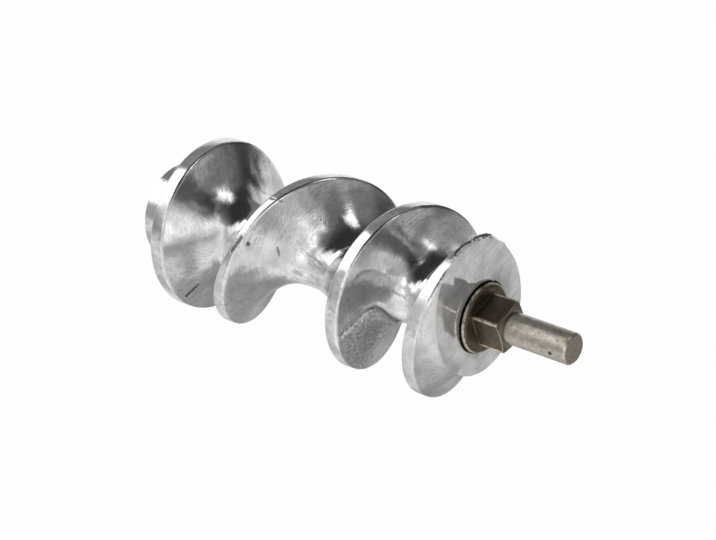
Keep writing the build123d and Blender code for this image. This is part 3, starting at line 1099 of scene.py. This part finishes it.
# %% Stained steel
STEEL, OIL = (0.60, 0.565, 0.51, 1), (0.46, 0.42, 0.345, 1)
STAIN, STAIN_THIN = (0.115, 0.092, 0.066, 1), (0.185, 0.152, 0.108, 1)
# The light edge colour is wear and painted highlight
WORN_EDGE_AND_HIGHLIGHT, END_FACE = (0.80, 0.74, 0.62, 1), (0.34, 0.31, 0.27, 1)
RUST, RUST_SHARE, RUST_LEVELS = (0.17, 0.13, 0.085, 1), 0.75, (0.50, 0.70)
PIN_PIT = {"pin pit": ((3.3, -3.4, 148.4), (3.2, -3.5, 148.7), 0.8, 1.0)}
# Near black for the painted shade on the flange's side
PIT_DARK, GAP_SHADE = (0.05, 0.04, 0.035, 1), (0.018, 0.015, 0.012, 1)
SPECKLES_PER_METRE, SPECKLE_DETAIL, SPECKLE_SHARE = 1900.0, 3.0, 0.45
FRECKLES_PER_METRE, FRECKLE_DETAIL, FRECKLE_ROUGHNESS = 800.0, 6.0, 0.7
PATCH_LEVELS = (0.36, 0.66)
SQUARE_ROUGH, PIN_ROUGH = 0.48, (0.34, 0.44)
TURNING_HEIGHT = 0.000006

speckle = noise_pattern(tree, spot, SPECKLES_PER_METRE, SPECKLE_DETAIL)[0]
patchy = fade(tree, between(tree, SPECKLE_SHARE, marks["Blotches"], speckle), *PATCH_LEVELS)
freckles = noise_pattern(tree, spot, FRECKLES_PER_METRE, FRECKLE_DETAIL, Roughness=FRECKLE_ROUGHNESS)[0]
rust = times(tree, fade(tree, freckles, *RUST_LEVELS), RUST_SHARE)
stain, pin = tint(tree, patchy, STAIN, STAIN_THIN), tint(tree, patchy, STEEL, OIL)
pit = scar_mask(tree, spot, PIN_PIT)
layers = [(on_pin, pin), (end, END_FACE), (bare_and_highlit, WORN_EDGE_AND_HIGHLIGHT)]
layers += [(rust, RUST), (pit, PIT_DARK), (side_shade, GAP_SHADE)]
sockets = {
    "Base Color": laid_over(tree, tint, stain, layers),
    "Roughness": between(tree, on_pin, SQUARE_ROUGH, between(tree, patchy, *PIN_ROUGH)),
    "Normal": bump(tree, marks["Streaks"], TURNING_HEIGHT),
    "Metallic": 1.0,
}
principled(tree, sockets)
print("material:", steel.name)

# %% [markdown]
# ## Painted shade in the seat
#
# A black line runs round the flange: the seat is a little wider than the flange, and the gap lies
# in shade. That shade is painted: the seat gets a dark, dull shader of its own with a little
# unevenness.

# %% Painted shade in the seat
GAP_SHADE_LIGHTER = (0.05, 0.042, 0.034, 1)
UNEVENNESS_PER_METRE, UNEVENNESS_DETAIL, UNEVENNESS_LEVELS = 700.0, 4.0, (0.4, 0.65)
GAP_SHADE_ROUGH = (0.45, 0.8)

# Painted shade: a near-black finish for the gap round the flange
seat_shade_finish, tree = new_material("painted_seat_shade")
spot = place(tree, "TexCoord").outputs["Object"]
unevenness = noise_pattern(tree, spot, UNEVENNESS_PER_METRE, UNEVENNESS_DETAIL)[0]
sockets = {
    "Base Color": tint(tree, fade(tree, unevenness, *UNEVENNESS_LEVELS), GAP_SHADE, GAP_SHADE_LIGHTER),
    "Roughness": between(tree, unevenness, *GAP_SHADE_ROUGH),
    "Normal": bump(tree, unevenness, PIT_HEIGHT),
}
principled(tree, sockets)
print("material:", seat_shade_finish.name)

# %% [markdown]
# ## Dress the pieces
#
# The screw has three finishes: polished, ground at the front, and near black in the seat as painted
# shade. The stud is the imported solid itself: only the material in its slot changes.

# %% Dress the pieces
stud.data.materials.clear()
for piece, finishes in ((polished_screw, (aluminium, ground, seat_shade_finish)), (stud, (steel,))):
    for finish in finishes:
        piece.data.materials.append(finish)
    print(piece.name, "wears", ", ".join(finish.name for finish in finishes))
